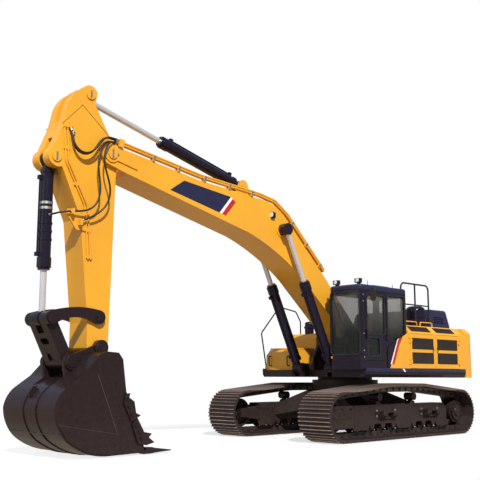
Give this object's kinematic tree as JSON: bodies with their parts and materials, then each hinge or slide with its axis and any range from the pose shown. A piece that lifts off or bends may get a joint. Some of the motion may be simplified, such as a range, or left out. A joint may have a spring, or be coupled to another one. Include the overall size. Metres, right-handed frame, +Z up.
{
  "type": "crawler excavator",
  "caption": "Large tracked digging machine with a swinging upper body, bent boom, stick and toothed bucket moved by cylinders, a glazed cab and opening covers.",
  "frame": {"origin": "on the ground, under the axis that the upper body swings about", "axes": "+X to the front along the boom, +Y to the left (cab side), +Z up"},
  "size_m": [11.7858, 3.62, 6.445],
  "materials": {
    "yellow_paint": "gloss",
    "dark_paint": "satin",
    "black_steel": "satin",
    "track_steel": "worn",
    "chrome_rod": "polished",
    "window_glass": "clear",
    "hose_rubber": "matte",
    "seat_cloth": "woven"
  },
  "bodies": {
    "undercarriage": {"lower_frame": "black_steel", "track_frame_left": "black_steel", "track_frame_right": "black_steel", "track_left": "track_steel", "track_right": "track_steel", "sprockets": "track_steel", "idlers": "track_steel", "bottom_rollers": "track_steel", "top_rollers": "track_steel", "final_drives": "black_steel", "track_steps": "black_steel", "swing_bearing": "black_steel"},
    "upper": {"main_frame": "dark_paint", "side_skirts": "dark_paint", "counterweight": "yellow_paint", "left_housing": "yellow_paint", "right_housing": "yellow_paint", "engine_deck": "yellow_paint", "engine_block": "black_steel", "air_cleaner": "dark_paint", "fuel_tank": "yellow_paint", "tool_box": "yellow_paint", "cab_floor": "dark_paint", "cab_frame": "dark_paint", "cab_roof": "dark_paint", "cab_glass": "window_glass", "seat": "seat_cloth", "seat_base": "dark_paint", "consoles": "dark_paint", "handrails": "dark_paint", "roof_lamps": "dark_paint"},
    "boom": {"boom": "yellow_paint", "boom_pipes": "yellow_paint", "boom_lamp": "dark_paint", "hose_upper_outer": "hose_rubber", "hose_upper_inner": "hose_rubber", "hose_lower_front": "hose_rubber", "hose_lower_rear": "hose_rubber"},
    "stick": {"stick": "yellow_paint", "stick_pipes": "yellow_paint", "hose_bucket_line": "hose_rubber"},
    "bucket": {"bucket_shell": "black_steel", "bucket_teeth": "black_steel", "side_cutters": "black_steel"},
    "boom_barrels": {"boom_cylinder_barrels": "dark_paint"},
    "boom_rods": {"boom_cylinder_rods": "chrome_rod"},
    "stick_barrel": {"stick_cylinder_barrel": "dark_paint"},
    "stick_rod": {"stick_cylinder_rod": "chrome_rod"},
    "bucket_barrel": {"bucket_cylinder_barrel": "dark_paint"},
    "bucket_rod": {"bucket_cylinder_rod": "chrome_rod"},
    "guide_links": {"guide_links": "black_steel"},
    "h_link": {"h_link": "black_steel"},
    "cab_door": {"cab_door": "dark_paint", "door_glass": "window_glass"},
    "left_front_door": {"left_front_door": "yellow_paint"},
    "left_rear_door": {"left_rear_door": "yellow_paint"},
    "right_rear_door": {"right_rear_door": "yellow_paint"},
    "engine_hood": {"engine_hood": "dark_paint"},
    "tool_box_lid": {"tool_box_lid": "yellow_paint"}
  },
  "joints": [
    {"name": "swing", "type": "hinge", "parent": "undercarriage", "child": "upper", "pos_m": [0, 0, 1.2], "axis": [0, 0, 1], "continuous": true},
    {"name": "boom_lift", "type": "hinge", "parent": "upper", "child": "boom", "pos_m": [0.18, 0, 2.26], "axis": [0, -1, 0], "range_deg": [-55, 34]},
    {"name": "stick_swing", "type": "hinge", "parent": "boom", "child": "stick", "pos_m": [6.95, 0, 5.25], "axis": [0, 1, 0], "range_deg": [-75, 32], "deforming": ["hose_upper_outer", "hose_upper_inner", "hose_lower_front", "hose_lower_rear"]},
    {"name": "bucket_curl", "type": "hinge", "parent": "stick", "child": "bucket", "pos_m": [7.07, 0, 1.79], "axis": [0, 1, 0], "range_deg": [-65, 90]},
    {"name": "boom_barrel_turn", "type": "hinge", "parent": "upper", "child": "boom_barrels", "pos_m": [1.05, 0, 1.5], "axis": [0, -1, 0], "range_deg": [-53.94, 33.54]},
    {"name": "boom_rod_slide", "type": "slide", "parent": "boom_barrels", "child": "boom_rods", "axis": [0.4432, 0, 0.8964], "range_m": [-1.0207, 0.6317]},
    {"name": "stick_barrel_turn", "type": "hinge", "parent": "boom", "child": "stick_barrel", "pos_m": [3.4291, 0, 5.29], "axis": [0, 1, 0], "range_deg": [-6.64, 3.12]},
    {"name": "stick_rod_slide", "type": "slide", "parent": "stick_barrel", "child": "stick_rod", "axis": [0.97, 0, 0.2431], "range_m": [-1.2777, 0.5463]},
    {"name": "guide_link_turn", "type": "hinge", "parent": "stick", "child": "guide_links", "pos_m": [7.1, 0, 2.31], "axis": [0, 1, 0], "range_deg": [-48.67, 67.2]},
    {"name": "h_link_turn", "type": "hinge", "parent": "guide_links", "child": "h_link", "pos_m": [8.02, 0, 2.26], "axis": [0, 1, 0], "range_deg": [-39.94, 28.99]},
    {"name": "bucket_barrel_turn", "type": "hinge", "parent": "stick", "child": "bucket_barrel", "pos_m": [8.03, 0, 5.02], "axis": [0, 1, 0], "range_deg": [-3.17, 4.19], "deforming": ["hose_bucket_line"]},
    {"name": "bucket_rod_slide", "type": "slide", "parent": "bucket_barrel", "child": "bucket_rod", "axis": [-0.0036, 0, -1], "range_m": [-0.643, 0.8895]},
    {"name": "cab_door_swing", "type": "hinge", "parent": "upper", "child": "cab_door", "pos_m": [0.395, 1.514, 2.4], "axis": [0, 0, 1], "range_deg": [0, 100]},
    {"name": "left_front_door_swing", "type": "hinge", "parent": "upper", "child": "left_front_door", "pos_m": [-0.475, 1.534, 1.9], "axis": [0, 0, -1], "range_deg": [0, 100]},
    {"name": "left_rear_door_swing", "type": "hinge", "parent": "upper", "child": "left_rear_door", "pos_m": [-2.505, 1.534, 1.9], "axis": [0, 0, 1], "range_deg": [0, 100]},
    {"name": "right_rear_door_swing", "type": "hinge", "parent": "upper", "child": "right_rear_door", "pos_m": [-2.505, -1.534, 1.9], "axis": [0, 0, -1], "range_deg": [0, 100]},
    {"name": "engine_hood_lift", "type": "hinge", "parent": "upper", "child": "engine_hood", "pos_m": [-2.754, 0, 2.494], "axis": [0, -1, 0], "range_deg": [0, 60]},
    {"name": "tool_box_lid_lift", "type": "hinge", "parent": "upper", "child": "tool_box_lid", "pos_m": [0.296, -1.07, 1.944], "axis": [0, -1, 0], "range_deg": [0, 75]}
  ],
  "couplings": [
    {"joint": "boom_barrel_turn", "follows": "boom_lift", "ratio": 0.97166},
    {"joint": "boom_rod_slide", "follows": "boom_lift", "m_per_rad": 1.0612},
    {"joint": "stick_barrel_turn", "follows": "stick_swing", "ratio": 0.0819},
    {"joint": "stick_rod_slide", "follows": "stick_swing", "m_per_rad": 0.97454},
    {"joint": "guide_link_turn", "follows": "bucket_curl", "ratio": 0.74116},
    {"joint": "h_link_turn", "follows": "bucket_curl", "ratio": -0.43825},
    {"joint": "bucket_barrel_turn", "follows": "bucket_curl", "ratio": 0.041},
    {"joint": "bucket_rod_slide", "follows": "bucket_curl", "m_per_rad": 0.565}
  ]
}
